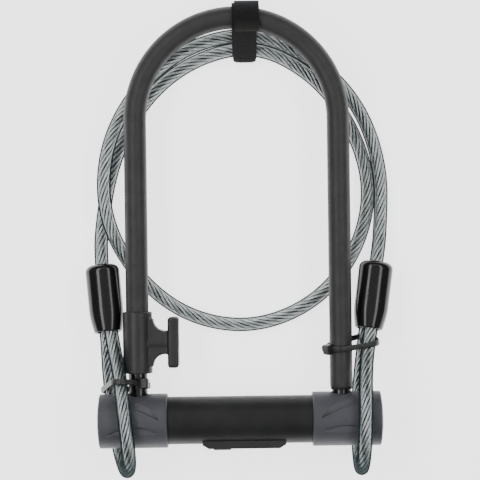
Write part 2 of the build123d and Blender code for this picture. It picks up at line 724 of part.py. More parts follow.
for name, _ in SIDES:
    foot, top = placed([sleeve_foot[name], sleeve_top[name]])
    axis = top - foot
    length = axis.length - meet_gap
    base = Plane(origin=foot, x_dir=(1, 0, 0), z_dir=axis)
    ferrule_start = sleeve_taper_length - ferrule_lap
    strands = [
        (strand_side, -strand_rise, cable_radius),
        (-strand_side, strand_rise, cable_radius),
    ]
    with BuildPart() as cable_sleeve:
        # Narrow where the two strands go in, full width above, rounded at the top.
        with BuildSketch(base):
            RectangleRounded(sleeve_foot_width, sleeve_thickness, sleeve_corner)
        with BuildSketch(base.offset(sleeve_taper_length)):
            RectangleRounded(sleeve_width, sleeve_thickness, sleeve_corner)
        loft()
        with BuildSketch(base.offset(sleeve_taper_length)):
            RectangleRounded(sleeve_width, sleeve_thickness, sleeve_corner)
        extrude(amount=length - sleeve_taper_length)
        fillet(cable_sleeve.faces().sort_by(Axis.Y)[-1].edges(), sleeve_round)
        # Mouth for the two strands, seat for the ferrule, and the cable's own hole.
        with BuildSketch(base):
            add(wrapped(strands, seat_gap + rest_gap))
        extrude(amount=ferrule_start, mode=Mode.SUBTRACT)
        with BuildSketch(base.offset(ferrule_start)):
            Ellipse(ferrule_width / 2 + seat_gap, ferrule_thickness / 2 + seat_gap)
        extrude(amount=ferrule_length, mode=Mode.SUBTRACT)
        with BuildSketch(base.offset(ferrule_start)):
            Circle(cable_radius + seat_gap)
        extrude(amount=length, mode=Mode.SUBTRACT)
    save(cable_sleeve.part, f"cable_sleeve_{name}")

    with BuildPart() as ferrule:
        with BuildSketch(base.offset(ferrule_start)):
            Ellipse(ferrule_width / 2, ferrule_thickness / 2)
        extrude(amount=ferrule_length)
    save(ferrule.part, f"ferrule_{name}")


# --------------------------------------------------------------- strap and ties
# The hook-and-loop strap holds the bend and the two strands of the coil below it.
strap_rounds = [(y, 0, coated_radius) for y in bend_at_edges]
strands = [place for place in passes(cable_lines["cable_coil"], across(strap_x)) if place[0] > bend_height]
lower_y = min(strands)[0]
strap_rounds += [(y, z, cable_radius) for y, z in strands if y > lower_y]
strap_rounds.append((lower_y, strand_z - bar_z, cable_radius))
with BuildPart() as strap:
    with BuildSketch(across(strap_x)):
        add(wrapped(strap_rounds, strap_gap + strap_wall))
        add(wrapped(strap_rounds, strap_gap), mode=Mode.SUBTRACT)
    extrude(amount=strap_width / 2, both=True)
save(strap.part, "strap")

# Each zip tie goes round its leg and both strands of the eye, in its own tilted plane;
# its head's place is given in that plane, from the leg's axis.
tie_data = {
    "left": {
        "height": cap_radius + tie_gap_left_cap,
        "normal": (0, -1, 0.22),
        "leg_radius": bar_radius,
        "head": (4.5, 8.6),
    },
    "right": {
        "height": 46.2,
        "normal": (0.1, -1, -0.2),
        "leg_radius": coated_radius,
        "head": (-8.6, 5.6),
    },
}
for name, side in SIDES:
    tie = tie_data[name]
    tie_plane = Plane(
        origin=(side * leg_x, bar_y + tie["height"], bar_z), x_dir=(1, 0, 0), z_dir=tie["normal"]
    )
    tie_rounds = [(0, 0, tie["leg_radius"])]
    tie_rounds += [(x, y, cable_radius) for x, y in passes(cable_lines[f"cable_eye_{name}"], tie_plane)]
    with BuildPart() as zip_tie:
        with BuildSketch(tie_plane):
            add(wrapped(tie_rounds, tie_gap[name] + tie_wall))
            add(wrapped(tie_rounds, tie_gap[name]), mode=Mode.SUBTRACT)
        extrude(amount=tie_width / 2, both=True)
        # Square head on the band's outside.
        with BuildSketch(tie_plane):
            with Locations(tie["head"]):
                Rectangle(tie_head_width, tie_head_height)
            add(wrapped(tie_rounds, tie_gap[name]), mode=Mode.SUBTRACT)
        extrude(amount=tie_head_reach, both=True)
    save(zip_tie.part, f"zip_tie_{name}")

print("shackle travel", shackle_travel, "bolt throw", cam_pin_radius, "lid travel", lid_travel)
print("crossbar axis at y", round(bar_y, 3), "z", round(bar_z, 3))
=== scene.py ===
# %% [markdown]
# # A U-lock with its looped security cable
#
# The object lies flat: a steel U with a soft coating, a crossbar with the lock in it, a
# carrier bracket on one leg, and a clear-jacketed steel cable wound behind it and held by
# a hook-and-loop strap. The model made in CAD gives every size and place, so this script
# only adds what CAD can't: soft shapes, wires under a clear jacket, grain, and light.

# %% Load the fixed frame
import bpy
import json
import math
import numpy as np
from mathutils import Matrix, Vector


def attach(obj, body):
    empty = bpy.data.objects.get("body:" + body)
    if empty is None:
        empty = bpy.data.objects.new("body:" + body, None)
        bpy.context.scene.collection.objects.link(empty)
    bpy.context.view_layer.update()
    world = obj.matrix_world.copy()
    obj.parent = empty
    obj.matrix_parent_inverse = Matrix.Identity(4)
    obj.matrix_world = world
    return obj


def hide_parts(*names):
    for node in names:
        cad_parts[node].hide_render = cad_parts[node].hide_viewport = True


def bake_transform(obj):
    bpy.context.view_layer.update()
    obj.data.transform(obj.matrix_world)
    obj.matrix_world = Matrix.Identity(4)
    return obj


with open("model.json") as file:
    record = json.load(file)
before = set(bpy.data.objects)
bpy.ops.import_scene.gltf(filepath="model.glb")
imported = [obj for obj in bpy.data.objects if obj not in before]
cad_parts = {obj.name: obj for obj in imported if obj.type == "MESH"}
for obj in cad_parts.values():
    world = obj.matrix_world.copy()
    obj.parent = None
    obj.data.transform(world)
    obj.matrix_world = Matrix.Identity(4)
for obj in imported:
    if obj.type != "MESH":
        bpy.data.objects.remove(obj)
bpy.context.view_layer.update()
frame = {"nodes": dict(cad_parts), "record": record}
MM = 0.001

# %% [markdown]
# ## Camera
#
# The lock is seen from straight above. A long lens from a metre away keeps the legs
# parallel, which a short lens close by wouldn't. The camera is turned by less than a
# degree about its own axis.

# %% Place the camera
camera_data = bpy.data.cameras.new("overhead_camera")
camera_data.lens = 126.37
camera_data.sensor_width = 36.0
camera = bpy.data.objects.new("overhead_camera", camera_data)
camera.location = (0.00137, -0.00948, 1.1)
camera.rotation_euler = (0, 0, math.radians(-0.75))
bpy.context.scene.collection.objects.link(camera)
bpy.context.scene.camera = camera
print("camera", tuple(camera.location))

# %% [markdown]
# ## Stage and light
#
# A pale floor runs out of view. Two long soft boxes lie along the legs, one on each side
# of the camera, so that every round part gets a lengthwise streak, and a wide soft panel
# above fills in. Area lamps are the simplest way to get such soft streaks.

# %% Floor
def grid_sheet(name, half, steps):
    """A square sheet on Z = 0: x and y each run from -half to half in even steps."""
    ticks = np.linspace(-half, half, steps + 1)
    x, y = np.meshgrid(ticks, ticks)
    points = np.stack([x.ravel(), y.ravel(), np.zeros(x.size)], axis=1)
    corner = (np.arange(steps)[:, None] * (steps + 1) + np.arange(steps)).ravel()
    quads = np.stack([corner, corner + 1, corner + steps + 2, corner + steps + 1], axis=1)
    mesh = bpy.data.meshes.new(name)
    mesh.from_pydata(points.tolist(), [], quads.tolist())
    sheet = bpy.data.objects.new(name, mesh)
    bpy.context.scene.collection.objects.link(sheet)
    return sheet


floor = grid_sheet("studio_floor", 3.0, 8)
floor_finish = bpy.data.materials.new("studio_floor")
floor_finish.use_nodes = True
floor_shader = floor_finish.node_tree.nodes["Principled BSDF"]
floor_shader.inputs["Base Color"].default_value = (0.9, 0.9, 0.9, 1)
floor_shader.inputs["Roughness"].default_value = 0.9
floor_shader.inputs["Emission Color"].default_value = (1, 1, 1, 1)
floor_shader.inputs["Emission Strength"].default_value = 2.2
floor.data.materials.append(floor_finish)
print("floor", floor.dimensions[:])

# %% Lamps
def soft_box(name, place, size, power, aim=(0, 0, 0.02)):
    """A rectangular lamp facing its aim: its first size is level, its second slopes."""
    lamp = bpy.data.lights.new(name, "AREA")
    lamp.shape = "RECTANGLE"
    lamp.size, lamp.size_y = size
    lamp.energy = power
    box = bpy.data.objects.new(name, lamp)
    box.location = place
    direction = Vector(aim) - Vector(place)
    box.rotation_euler = direction.to_track_quat("-Z", "Y").to_euler()
    bpy.context.scene.collection.objects.link(box)
    return box


soft_box("left_box", (-0.42, 0.05, 0.75), (1.1, 0.2), 4.2)
soft_box("right_box", (0.5, 0.05, 0.8), (1.1, 0.2), 3.4)
soft_box("far_box", (0.0, 0.75, 0.9), (1.2, 0.3), 2.0)
soft_box("top_panel", (0.0, -0.15, 1.6), (1.6, 1.6), 3.5)
world = bpy.data.worlds.new("studio_air")
world.use_nodes = True
world.node_tree.nodes["Background"].inputs["Color"].default_value = (0.95, 0.97, 1, 1)
world.node_tree.nodes["Background"].inputs["Strength"].default_value = 0.22
bpy.context.scene.world = world

# %% [markdown]
# ## Helpers for surfaces
#
# Nearly every piece here is a stack of closed rings: a tube, a band, a boot, a cap. One
# function skins such a stack, whatever its rings look like. A second one works out
# directions along a line that turn as little as possible, so a tube doesn't twist.

# %% Skin a stack of rings
def skin(name, rings, loop=False, smooth=True):
    """Mesh over rings, an array of ring, point, xyz. Each point is joined to the next on its
    ring and to the same point on the next ring. The first and last rings are closed by a
    fan to their middle, or joined to each other if loop is true. The UV map holds the share
    of the way round and the distance along, in metres."""
    rows, cols = rings.shape[:2]
    middles = rings.mean(axis=1)
    steps = np.linalg.norm(np.diff(middles, axis=0, append=middles[:1]), axis=1)
    along = np.concatenate([[0.0], np.cumsum(steps)])
    i, j = np.meshgrid(np.arange(rows - (not loop)), np.arange(cols), indexing="ij")
    i, j = i.ravel(), j.ravel()
    row = np.stack([i, i, i + 1, i + 1], axis=1)
    col = np.stack([j, j + 1, j + 1, j], axis=1)
    quads = (row % rows) * cols + col % cols
    uv = np.stack([col / cols, along[row]], axis=-1).reshape(-1, 2)
    points, faces = rings.reshape(-1, 3), quads.tolist()
    if not loop:
        here, after = np.arange(cols), (np.arange(cols) + 1) % cols
        last = (rows - 1) * cols
        start = np.stack([np.full(cols, len(points)), after, here], axis=1)
        end = np.stack([np.full(cols, len(points) + 1), last + here, last + after], axis=1)
        points = np.concatenate([points, middles[[0, -1]]])
        faces += start.tolist() + end.tolist()
        ends = [np.tile([[0.5, reached]], (3 * cols, 1)) for reached in (0.0, along[-2])]
        uv = np.concatenate([uv, *ends])
    mesh = bpy.data.meshes.new(name)
    mesh.from_pydata(points.tolist(), [], faces)
    mesh.uv_layers.new(name="UVMap").data.foreach_set("uv", uv.astype(np.float32).ravel())
    mesh.polygons.foreach_set("use_smooth", np.full(len(mesh.polygons), smooth))
    piece = bpy.data.objects.new(name, mesh)
    bpy.context.scene.collection.objects.link(piece)
    print(name, len(mesh.polygons), "faces")
    return piece


# %% Directions along a line
def unit(vectors):
    """Each vector over its own length."""
    return vectors / np.linalg.norm(vectors, axis=-1, keepdims=True)


def carried_frames(line):
    """Directions along a line and square to it at each point, turning as little as they can.
    A rough sideways direction comes first, from the world axis least in line with the
    line. The turn that it makes from each point to the next, beyond the line's own bend, is
    added up from the start and taken back."""
    along = unit(np.gradient(line, axis=0))
    side = unit(np.cross(along, np.eye(3)[np.abs(along).argmin(axis=1)]))
    up = np.cross(along, side)
    bend = np.cross(along[:-1], along[1:])
    cosine = (along[:-1] * along[1:]).sum(axis=1, keepdims=True)
    old = side[:-1]
    carried = old * cosine + np.cross(bend, old)
    carried += bend * (bend * old).sum(axis=1, keepdims=True) / (1 + cosine)
    turn = np.arctan2((carried * up[1:]).sum(axis=1), (carried * side[1:]).sum(axis=1))
    angle = np.concatenate([[0.0], np.cumsum(turn)])[:, None]
    first = np.cos(angle) * side + np.sin(angle) * up
    return along, first, np.cross(along, first)


def tube_rings(line, radius, cols):
    """Circles square to a line: middle + radius (cos a first + sin a second)."""
    _, first, second = carried_frames(line)
    a = np.linspace(0, 2 * np.pi, cols, endpoint=False)[None, :, None]
    radius = np.broadcast_to(radius, len(line))[:, None, None]
    return line[:, None] + radius * (np.cos(a) * first[:, None] + np.sin(a) * second[:, None])


def evenly(points, spacing):
    """The same line with its points at even distances, by interpolation along its length."""
    steps = np.linalg.norm(np.diff(points, axis=0), axis=1)
    reached = np.concatenate([[0.0], np.cumsum(steps)])
    wanted = np.linspace(0, reached[-1], int(round(reached[-1] / spacing)) + 1)
    return np.stack([np.interp(wanted, reached, points[:, k]) for k in range(3)], axis=1)


# %% [markdown]
# ## The cable's line
#
# One steel cable makes both eyes and the coil. It starts at the cut end in the left crimp,
# goes down over the end cap and round the crossbar, back through the boot, one and a half
# times round on the floor behind the shackle, and makes the same eye on the right. The line
# is a NURBS curve, because its points pull a smooth line after them as stiffness does in a
# real cable. The points are the CAD route's, with some moved by up to 4 mm so that
# the turns lie side by side and the eyes lean over the caps.

# %% Points of the line
BAR_Y = -0.123892  # crossbar axis in the row frame
BAR_Z = 0.02655
LEG_X = 0.0647
BEND_Y = BAR_Y + 0.1915

eye_left = np.array([
    (-83.2, 66.4, 21.6), (-80.7, 49.2, 24.0), (-75.6, 30.0, 36.5), (-73.0, 10.0, 48.4),
    (-70.3, -12.0, 49.6), (-69.8, -28.5, 40.5), (-73.6, -34.0, 20.5), (-79.4, -20.0, 4.5),
    (-82.4, 5.0, 4.5), (-84.6, 29.0, 9.5), (-84.8, 48.6, 15.3), (-86.4, 64.9, 12.9),
])
coil = np.array([
    (-88.2, 100.8, 12.2), (-89.0, 121.0, 4.5), (-81.7, 163.4, 4.5), (-63.2, 203.0, 4.5),
    (-30.6, 231.1, 5.6), (12.0, 241.3, 9.0), (51.1, 221.0, 4.8), (76.1, 186.5, 4.5),
    (87.5, 145.1, 4.5), (76.4, 103.2, 4.5), (47.9, 71.4, 4.5), (7.0, 56.8, 4.5),
    (-35.2, 65.5, 5.0), (-67.7, 93.3, 10.8), (-86.7, 131.3, 14.8), (-85.2, 174.7, 14.6),
    (-65.5, 212.3, 13.6), (-31.8, 239.7, 13.8), (10.1, 248.8, 14.7), (50.3, 232.1, 9.5),
    (79.7, 202.2, 4.5), (93.9, 161.3, 4.5), (92.6, 119.5, 4.5), (89.6, 100.6, 12.2),
])
eye_right = np.array([
    (82.9, 65.2, 12.9), (80.5, 49.0, 15.2), (78.3, 29.0, 8.0), (76.4, 5.0, 4.5),
    (76.4, -20.0, 4.5), (76.8, -34.0, 20.5), (77.2, -28.5, 40.5), (78.0, -12.0, 49.6),
    (78.8, 10.0, 48.4), (79.6, 30.0, 36.5), (82.7, 48.9, 24.1), (86.0, 66.0, 21.7),
])
cable_points = np.concatenate([eye_left, coil, eye_right]) * MM + (0, BAR_Y, 0)
print(len(cable_points), "points")

# %% Read the smooth line
def smooth_line(name, points, spacing):
    """Points of a NURBS curve of order 3 that has the given control points."""
    data = bpy.data.curves.new(name, "CURVE")
    data.dimensions = "3D"
    data.resolution_u = 32
    spline = data.splines.new("NURBS")
    spline.points.add(len(points) - 1)
    spline.points.foreach_set("co", np.column_stack([points, np.ones(len(points))]).ravel())
    spline.order_u = 3
    spline.use_endpoint_u = True
    holder = bpy.data.objects.new(name, data)
    read = bpy.data.meshes.new_from_object(holder)
    line = np.zeros(len(read.vertices) * 3)
    read.vertices.foreach_get("co", line)
    bpy.data.objects.remove(holder)
    bpy.data.curves.remove(data)
    bpy.data.meshes.remove(read)
    return evenly(line.reshape(-1, 3), spacing)


CABLE_RADIUS = 4.5 * MM
cable_line = smooth_line("cable_line", cable_points, 1.5 * MM)

# %% [markdown]
# ## Clear jacket
#
# The jacket is a plain round tube on that line. A clear PVC tube could be made with true
# refraction, which is slow and grainy over bright wires. A thin surface that covers little
# where it faces the eye and much where it turns away shows the wires cleanly, and has the
# dusky edge of such a jacket.

# %% Jacket tube
jacket = skin("cable_jacket", tube_rings(cable_line, CABLE_RADIUS, 20))

# %% [markdown]
# ## Wire rope
#
# Under the jacket, eight strands are laid round a core. Each strand's middle goes round the
# cable's line in a helix, and its own rings start at the crest that faces the jacket. The
# UV map then says how far a point is from that crest, so the finish can leave the gaps
# between strands dark, as they are where hardly any light gets in.

# %% Lay eight strands
STRANDS = 8
LAY = 44 * MM  # distance in which a strand goes round once
STRAND_RADIUS = 0.98 * MM
ROPE_RADIUS = 2.5 * MM  # cable's line to a strand's middle


def strand_rings(line, k, cols=12):
    """Rings of strand k: its middle is line + rope radius * out, with out at the angle
    2 pi (distance / lay + k / strands), and a ring is middle + r (cos a out + sin a side)."""
    _, first, second = carried_frames(line)
    reached = np.arange(len(line)) * np.linalg.norm(line[1] - line[0])
    angle = (2 * np.pi * (reached / LAY + k / STRANDS))[:, None]
    out = np.cos(angle) * first + np.sin(angle) * second
    middle = line + ROPE_RADIUS * out
    side = unit(np.cross(np.gradient(middle, axis=0), out))
    a = np.linspace(0, 2 * np.pi, cols, endpoint=False)[None, :, None]
    return middle[:, None] + STRAND_RADIUS * (np.cos(a) * out[:, None] + np.sin(a) * side[:, None])


wires = [skin(f"strand_{k}", strand_rings(cable_line, k, 10)) for k in range(STRANDS)]
core = skin("rope_core", tube_rings(cable_line[::2], 1.75 * MM, 10))
core.data.uv_layers["UVMap"].uv.foreach_set("vector", np.full(len(core.data.loops) * 2, 0.5, np.float32))
wires.append(core)


# %% Join them
def join(name, pieces):
    """One piece from several, keeping the first one's data."""
    with bpy.context.temp_override(active_object=pieces[0], selected_editable_objects=pieces):
        bpy.ops.object.join()
    pieces[0].name = pieces[0].data.name = name
    return pieces[0]


rope = join("cable_wires", wires)
print(rope.name, len(rope.data.polygons), "faces")

# %% [markdown]
# ## Soft coating on the bar
#
# The U is a bar with a vinyl sleeve over it. The coating's line is two straight legs and a
# half circle. Its ends are rolled slightly inwards, as a heat-shrunk sleeve's are, by
# making the last rings smaller.

# %% Coating
def u_line(left_end, right_end, spacing):
    """Straight up the left leg, half round the bend, and down the right leg."""
    a = np.linspace(np.pi, 0, 400)
    bend = np.stack([LEG_X * np.cos(a), BEND_Y + LEG_X * np.sin(a)], axis=1)
    flat = np.concatenate([[(-LEG_X, left_end)], bend, [(LEG_X, right_end)]])
    return evenly(np.column_stack([flat, np.full(len(flat), BAR_Z)]), spacing)


coating_line = u_line(BAR_Y + 0.033, BAR_Y + 0.0188, 2 * MM)
end_distance = np.minimum(np.arange(len(coating_line)), np.arange(len(coating_line))[::-1]) * 2 * MM
coating_radius = 7.2 * MM - 0.5 * MM * np.exp(-end_distance / MM)
coating = skin("soft_coating", tube_rings(coating_line, coating_radius, 64))
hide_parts("shackle_coating")
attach(coating, "shackle")

# %% [markdown]
# ## Boots over the crimps
#
# Each eye is closed by a crimp inside a glossy PVC boot. A boot is narrow at its foot,
# where two strands of cable go in, and has round shoulders where one comes out. Its rings
# are superellipses, |x/a|^n + |y/b|^n = 1 with n = 2.15, a little fuller than an ellipse, whose
# width, depth and place change along the boot's axis.

# %% Boot surface
def superellipse(cols, power):
    """Ring of points with |x|^power + |y|^power = 1, as x = |cos|^(2/power), y = |sin|^(2/power)."""
    a = np.linspace(0, 2 * np.pi, cols, endpoint=False)
    c, s = np.cos(a), np.sin(a)
    return np.stack([np.sign(c) * np.abs(c) ** (2 / power), np.sign(s) * np.abs(s) ** (2 / power)], axis=1)


def boot_profile():
    """Distance along the boot, half width and half depth in millimetres, from a recess in
    the foot, round its lip, up the taper and over the shoulder to a recess at the top."""
    t = np.linspace(0, 1, 24)
    taper = np.stack([1.2 + 14 * t, 9.1 + 1.9 * np.sin(t * np.pi / 2), np.full(24, 10.0)], axis=1)
    side = np.stack([15.4 + 23.6 * t, np.full(24, 11.0), np.full(24, 10.0)], axis=1)
    a = np.linspace(0, np.pi / 2, 14)
    fall = 1 - np.cos(a)
    shoulder = np.stack([39.2 + 4.4 * np.sin(a), 11 - 4.6 * fall, 10 - 4.2 * fall], axis=1)
    foot = np.array([
        (3.5, 6.6, 8.2), (1.5, 7.0, 8.6), (0.5, 7.4, 9.0),
        (0.1, 7.9, 9.3), (0.0, 8.4, 9.6), (0.3, 8.9, 9.9),
    ])
    top = np.array([(43.6, 5.7, 5.3), (43.5, 5.2, 5.1), (43.0, 5.0, 5.0), (41.0, 4.9, 4.9)])
    return np.concatenate([foot, taper, side, shoulder, top]) * MM


def boot(name, foot, top):
    """Superellipse rings along the axis from foot to top."""
    foot, top = (np.array(end) * MM + (0, BAR_Y, 0) for end in (foot, top))
    axis = unit(top - foot)
    wide = unit(np.array([1.0, 0, 0]) - axis[0] * axis)
    deep = np.cross(axis, wide)
    distance, half_wide, half_deep = boot_profile().T
    ring = superellipse(72, 2.15)
    rings = foot + distance[:, None, None] * axis
    rings = rings + half_wide[:, None, None] * ring[None, :, :1] * wide
    rings = rings + half_deep[:, None, None] * ring[None, :, 1:] * deep
    return skin(name, rings)


boots = {
    "left": boot("boot_left", (-83.9, 56.4, 18.6), (-88.1, 100.2, 12.4)),
    "right": boot("boot_right", (83.1, 56.4, 18.6), (89.5, 100.0, 12.4)),
}
for side, piece in boots.items():
    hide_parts(f"cable_sleeve_{side}")
    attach(piece, "crossbar")

for piece in (jacket, rope):
    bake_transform(piece)
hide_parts("cable_coil", "cable_eye_left", "cable_eye_right")

# %% [markdown]
# ## End caps
#
# The caps are moulded in a bluish grey plastic and carry two shallow scoops on each flat
# side. A cap is its outline turned round the crossbar's axis, inside and out, and the
# scoops are pressed in by making the radius smaller there. The hole for the foot is cut
# afterwards, because a turned surface can't have one.

# %% Cap outline
CAP_RADIUS = 17.25 * MM


def arc(x, r, size, start, end, steps):
    """Points of a round corner: middle (x, r), from one angle to the other."""
    a = np.radians(np.linspace(start, end, steps))
    return np.stack([x + size * np.cos(a), r + size * np.sin(a)], axis=1)


def cap_outline():
    """Distance out along the crossbar and radius, in millimetres: from the end wall's
    inside, along the bore and over its step, round the mouth, along the skirt, round
    the rim, and over the shallow dome to the axis."""
    bore = np.array([(88.3, 0.02), (88.3, 13.0), (88.2, 13.8), (56.2, 13.8), (56.1, 15.25), (46.3, 15.25)])
    mouth = arc(46.9, 16.35, 0.9, 225, 90, 8)
    skirt = np.stack([np.linspace(47.2, 88.3, 165), np.full(165, 17.25)], axis=1)
    rim = arc(88.5, 16.25, 1.0, 88, 14, 7)
    r = np.linspace(16.2, 0.02, 18)
    dome = np.stack([89.5 + 1.45 * (1 - (r / 16.2) ** 2), r], axis=1)
    return np.concatenate([bore, mouth, skirt, rim, dome]) * MM


# %% Scoops
def scoop(x, s, edge, width, first, last):
    """Depth of a scoop: full at its sharp edge, s = edge(x), and fading to nothing over
    width, up or down as width's sign says. Its length tapers to a point at both ends."""
    share = np.clip((x - first) / (last - first), 0, 1)
    reach = np.abs(width) * np.sin(np.pi * share ** 0.75) ** 0.8 + 1e-6
    q = (s - edge) * np.sign(width) / reach
    inside = (q > 0) & (q < 1) & (share > 0) & (share < 1)
    wall = np.clip(q * reach / 0.6, 0, 1)
    return np.where(inside, 1.6 * wall * np.clip(1 - q, 0, 1) ** 0.8 * np.clip(reach / 1.2, 0, 1), 0)


def turned_cap(name, side, cols=360):
    """The outline turned round the crossbar's axis: y = r cos a, z = r sin a."""
    out, radius = cap_outline().T
    a = np.linspace(0, 2 * np.pi, cols, endpoint=False)
    x = out[:, None] / MM + 0 * a
    s = np.broadcast_to(CAP_RADIUS / MM * np.arcsin(np.cos(a)), x.shape)
    upper_edge = 2.2 + 0.56 * (x - 52.1) - 0.0044 * (x - 52.1) ** 2
    lower_edge = -2.4 - 0.0168 * (x - 67) ** 2
    depth = scoop(x, s, upper_edge, 5.2, 51.2, 82) + scoop(x, s, lower_edge, -4.4, 52.0, 86)
    skirt = (radius > 17.2 * MM)[:, None]
    r = radius[:, None] - np.where(skirt, depth, 0) * MM
    rings = np.stack([side * x * MM, BAR_Y + r * np.cos(a), BAR_Z + r * np.sin(a)], axis=-1)
    if side < 0:
        rings = rings[:, ::-1]
    return skin(name, rings)


# %% Cut the foot's hole
def drill(piece, place, direction, radius, depth):
    """Takes a round hole out of a piece with a Boolean, and keeps the result as its mesh."""
    line = np.array(place) + np.linspace(0, depth, 2)[:, None] * np.array(direction)
    tool = skin("drill", tube_rings(line, radius, 96))
    cut = piece.modifiers.new("hole", "BOOLEAN")
    cut.operation, cut.object, cut.solver = "DIFFERENCE", tool, "EXACT"
    whole = bpy.context.evaluated_depsgraph_get()
    cut_mesh = bpy.data.meshes.new_from_object(piece.evaluated_get(whole))
    piece.modifiers.clear()
    piece.data = cut_mesh
    bpy.data.objects.remove(tool)
    print(piece.name, "drilled", len(cut_mesh.polygons), "faces")


end_caps = {}
for side_name, side in (("left", -1), ("right", 1)):
    cap = turned_cap(f"cap_{side_name}", side)
    drill(cap, (side * LEG_X, BAR_Y + 0.002, BAR_Z), (0, 1, 0), 6.5 * MM, 0.03)
    cap.data.polygons.foreach_set("use_smooth", np.ones(len(cap.data.polygons), bool))
    cap.data.set_sharp_from_angle(angle=math.radians(38))
    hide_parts(f"end_cap_{side_name}")
    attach(cap, "crossbar")
    end_caps[side_name] = cap

# %% [markdown]
# ## Zip ties
#
# A zip tie pulled tight round a bar and two strands takes the shortest way round all
# three. That way is found from every direction at once: for each direction, the round
# that reaches furthest that way carries the band, and straight runs join one round to the
# next. The band has a ribbed outside, a square head, and the stub of its cut tail.

# %% Shortest way round some circles
def round_them(circles, gap, steps=2880):
    """Points on the tight outline round circles (x, y, radius), gap outside them: in each
    direction n, middle + (radius + gap) n of the circle that reaches furthest."""
    circles = np.array(circles)
    a = np.linspace(0, 2 * np.pi, steps, endpoint=False)
    n = np.stack([np.cos(a), np.sin(a)], axis=1)
    furthest = (n @ circles[:, :2].T + circles[:, 2]).argmax(axis=1)
    gap = np.broadcast_to(gap, steps)
    return circles[furthest, :2] + (circles[furthest, 2] + gap)[:, None] * n


def crossings(line, origin, normal):
    """Where a line of points crosses a plane, by interpolation between its two sides."""
    height = (line - origin) @ normal
    k = np.flatnonzero(height[:-1] * height[1:] <= 0)
    share = (height[k] / (height[k] - height[k + 1]))[:, None]
    return line[k] * (1 - share) + line[k + 1] * share


def plane_axes(normal):
    """Unit normal and two directions in its plane, the first as near +X as it can be."""
    normal = unit(np.array(normal, float))
    first = unit(np.array([1.0, 0, 0]) - normal[0] * normal)
    return normal, first, np.cross(normal, first)


# %% Band along an outline
def band_rings(outline, origin, axes, width, wall, ribs=0.0):
    """Rings of a flat band: a superellipse of the given width and wall, carried along a
    closed outline. The outline lies in the plane of axes, and the width stands square to
    it. Ribs make the wall thicker and thinner along the band."""
    normal, first, second = axes
    closed = np.concatenate([outline, outline[:1]])
    flat = evenly(np.column_stack([closed, np.zeros(len(closed))]), 0.25 * MM)[:-1, :2]
    ahead = unit(np.roll(flat, -1, axis=0) - np.roll(flat, 1, axis=0))
    out = np.stack([ahead[:, 1], -ahead[:, 0]], axis=1)
    ring = superellipse(20, 5)
    wave = wall + ribs * (np.arange(len(flat)) // 2 % 2)
    local = flat[:, None] + out[:, None] * (ring[None, :, :1] * wave[:, None, None] / 2)
    place = origin + local[..., :1] * first + local[..., 1:] * second
    return place - ring[None, :, 1:] * width / 2 * normal


def rounded_block(name, place, axes, half, power=0.22, ridges=0):
    """A box with soft edges, as a superellipsoid: each of three half sizes times a cosine or
    sine raised to a small power. Ridges run across its first direction on the top."""
    v = np.linspace(-np.pi / 2 + 0.02, np.pi / 2 - 0.02, 40)[:, None]
    u = np.linspace(0, 2 * np.pi, 96, endpoint=False)[None, :]
    soft = lambda wave: np.sign(wave) * np.abs(wave) ** power
    x, y, z = soft(np.cos(v)) * soft(np.cos(u)), soft(np.cos(v)) * soft(np.sin(u)), soft(np.sin(v)) + 0 * u
    z = z * (1 + 0.05 * np.sin(x * np.pi * ridges) * (np.abs(z) > 0.9))
    rings = np.array(place) + sum(half[k] * c[..., None] * axes[k] for k, c in enumerate((x, y, z)))
    return skin(name, rings)


# %% Make both ties
TIES = {
    "left": dict(height=22.6, normal=(0, -1, 0.22), leg=6.0, head=(4.5, 8.6), gap=0.75, turn=0.1),
    "right": dict(height=46.2, normal=(0.1, -1, -0.2), leg=7.2, head=(-8.6, 5.6), gap=1.05, turn=0.9),
}


def zip_tie(side_name, side, height, normal, leg, head, gap, turn):
    """Band round the leg and both strands of the eye, with its head and cut tail."""
    origin = np.array([side * LEG_X, BAR_Y + height * MM, BAR_Z])
    axes = plane_axes(normal)
    met = crossings(cable_line, origin, axes[0]) - origin
    met = met[np.linalg.norm(met, axis=1) < 45 * MM]
    circles = [(0, 0, leg * MM)] + [(p @ axes[1], p @ axes[2], CABLE_RADIUS) for p in met]
    outline = round_them(circles, (gap + 0.55) * MM)
    rings = band_rings(outline, origin, axes, 3.6 * MM, 0.95 * MM, 0.16 * MM)
    band = skin(f"tie_band_{side_name}", rings, loop=True)
    middle = origin + head[0] * MM * axes[1] + head[1] * MM * axes[2]
    across = math.cos(turn) * axes[1] + math.sin(turn) * axes[2]
    inward = np.cross(axes[0], across)
    turned = (across, axes[0], inward)
    head_half = (2.7 * MM, 3.1 * MM, 2.3 * MM)
    stub_half = (1.8 * MM, 1.7 * MM, 0.6 * MM)
    cut_end = middle - 3.6 * MM * across
    block = rounded_block(f"tie_head_{side_name}", middle, turned, head_half, ridges=5)
    stub = rounded_block(f"tie_stub_{side_name}", cut_end, turned, stub_half, power=0.3)
    tie = join(f"zip_tie_{side_name}_band", [band, block, stub])
    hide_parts(f"zip_tie_{side_name}")
    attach(tie, "crossbar")
    return tie


ties = {name: zip_tie(name, side, **TIES[name]) for name, side in (("left", -1), ("right", 1))}

# %% [markdown]
# ## Hook-and-loop strap
#
# The strap is one long band that goes once round the bend and the cable and then laps over
# itself on the top, where it closes. It is a flat band again, but its outline is a spiral:
# the gap to what it holds starts at one wall and grows to two before the band comes back to
# its own start. The lapped end steps sideways a little, as a strap wound by hand does.

